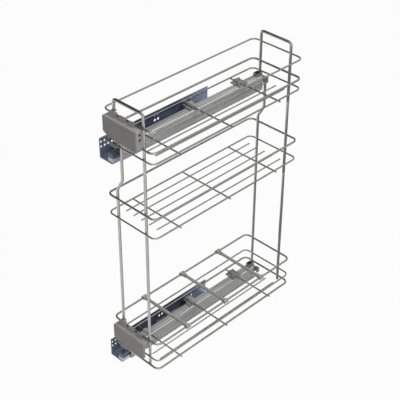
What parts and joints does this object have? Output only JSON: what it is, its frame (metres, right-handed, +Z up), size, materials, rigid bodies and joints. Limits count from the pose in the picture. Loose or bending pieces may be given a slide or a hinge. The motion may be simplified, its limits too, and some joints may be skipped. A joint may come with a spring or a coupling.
{
  "type": "pull out larder unit",
  "caption": "Tall narrow kitchen pull-out: wire baskets in a chromed frame on two side-mounted full-extension runners, with sliding bottle dividers and soft close.",
  "frame": {"origin": "centre of the lower runner's screw line (first and last cabinet screw), on the face that lies on the cabinet side", "axes": "+X away from the cabinet side, -Y the way the unit pulls out, +Z up"},
  "size_m": [0.1629, 0.4905, 0.7315],
  "materials": {
    "chrome_wire": "polished chrome plate",
    "zinc_blue": "blue passivated zinc",
    "zinc_bright": "bright zinc",
    "rail_grey": "satin grey coat",
    "die_cast": "grey coated die casting",
    "cover_grey": "moulded, fine grain",
    "dark_plastic": "moulded",
    "light_plastic": "moulded",
    "white_plastic": "low-friction polymer",
    "dark_screw": "black oxide"
  },
  "bodies": {
    "cabinet_side": {"lower_cabinet_profile": "zinc_blue", "upper_cabinet_profile": "zinc_blue", "lower_soft_close_housing": "dark_plastic", "upper_soft_close_housing": "dark_plastic", "lower_soft_close_catch": "light_plastic", "upper_soft_close_catch": "light_plastic", "lower_damper": "zinc_bright", "upper_damper": "zinc_bright", "lower_return_spring": "zinc_bright", "upper_return_spring": "zinc_bright"},
    "lower_middle": {"lower_middle_member": "zinc_bright"},
    "upper_middle": {"upper_middle_member": "zinc_bright"},
    "lower_inner_roller_cage": {"lower_inner_cage": "white_plastic", "lower_inner_rollers": "white_plastic"},
    "upper_inner_roller_cage": {"upper_inner_cage": "white_plastic", "upper_inner_rollers": "white_plastic"},
    "lower_outer_roller_cage": {"lower_outer_cage": "white_plastic", "lower_outer_rollers": "white_plastic"},
    "upper_outer_roller_cage": {"upper_outer_cage": "white_plastic", "upper_outer_rollers": "white_plastic"},
    "basket_carriage": {"lower_drawer_rail": "rail_grey", "upper_drawer_rail": "rail_grey", "lower_front_bracket": "die_cast", "upper_front_bracket": "die_cast", "lower_front_cover": "cover_grey", "upper_front_cover": "cover_grey", "lower_rear_bracket": "dark_plastic", "upper_rear_bracket": "dark_plastic", "front_adjusting_screws": "dark_screw", "rear_clamp_screws": "dark_screw", "front_wire_clips": "light_plastic", "middle_wire_clips": "light_plastic", "rail_wire_clips": "dark_plastic", "upper_rim_ring": "chrome_wire", "upper_guard_ring": "chrome_wire", "upper_floor_ring": "chrome_wire", "middle_rim_ring": "chrome_wire", "middle_floor_ring": "chrome_wire", "lower_rim_ring": "chrome_wire", "lower_guard_ring": "chrome_wire", "lower_floor_ring": "chrome_wire", "upper_cross_wires": "chrome_wire", "middle_cross_wires": "chrome_wire", "lower_cross_wires": "chrome_wire", "upper_floor_wires": "chrome_wire", "middle_floor_wires": "chrome_wire", "lower_floor_wires": "chrome_wire", "front_frame_bow": "chrome_wire", "rear_frame_bow": "chrome_wire", "front_left_upright": "chrome_wire", "rear_left_upright": "chrome_wire"},
    "front_divider": {"front_divider_bar": "chrome_wire", "front_divider_clips": "light_plastic"},
    "centre_divider": {"centre_divider_bar": "chrome_wire", "centre_divider_clips": "light_plastic"},
    "rear_divider": {"rear_divider_bar": "chrome_wire", "rear_divider_clips": "light_plastic"}
  },
  "joints": [
    {"name": "pull_out", "type": "slide", "parent": "cabinet_side", "child": "basket_carriage", "axis": [0, -1, 0], "range_m": [0, 0.42]},
    {"name": "lower_middle_slide", "type": "slide", "parent": "cabinet_side", "child": "lower_middle", "axis": [0, -1, 0], "range_m": [0, 0.21]},
    {"name": "upper_middle_slide", "type": "slide", "parent": "cabinet_side", "child": "upper_middle", "axis": [0, -1, 0], "range_m": [0, 0.21]},
    {"name": "lower_inner_cage_slide", "type": "slide", "parent": "cabinet_side", "child": "lower_inner_roller_cage", "axis": [0, -1, 0], "range_m": [0, 0.105]},
    {"name": "upper_inner_cage_slide", "type": "slide", "parent": "cabinet_side", "child": "upper_inner_roller_cage", "axis": [0, -1, 0], "range_m": [0, 0.105]},
    {"name": "lower_outer_cage_slide", "type": "slide", "parent": "cabinet_side", "child": "lower_outer_roller_cage", "axis": [0, -1, 0], "range_m": [0, 0.315]},
    {"name": "upper_outer_cage_slide", "type": "slide", "parent": "cabinet_side", "child": "upper_outer_roller_cage", "axis": [0, -1, 0], "range_m": [0, 0.315]},
    {"name": "front_divider_slide", "type": "slide", "parent": "basket_carriage", "child": "front_divider", "axis": [0, -1, 0], "range_m": [-0.115, 0.07]},
    {"name": "centre_divider_slide", "type": "slide", "parent": "basket_carriage", "child": "centre_divider", "axis": [0, -1, 0], "range_m": [-0.115, 0.115]},
    {"name": "rear_divider_slide", "type": "slide", "parent": "basket_carriage", "child": "rear_divider", "axis": [0, -1, 0], "range_m": [-0.08, 0.115]}
  ],
  "couplings": [
    {"joint": "lower_middle_slide", "follows": "pull_out", "ratio": 0.5},
    {"joint": "upper_middle_slide", "follows": "pull_out", "ratio": 0.5},
    {"joint": "lower_inner_cage_slide", "follows": "pull_out", "ratio": 0.25},
    {"joint": "upper_inner_cage_slide", "follows": "pull_out", "ratio": 0.25},
    {"joint": "lower_outer_cage_slide", "follows": "pull_out", "ratio": 0.75},
    {"joint": "upper_outer_cage_slide", "follows": "pull_out", "ratio": 0.75}
  ]
}
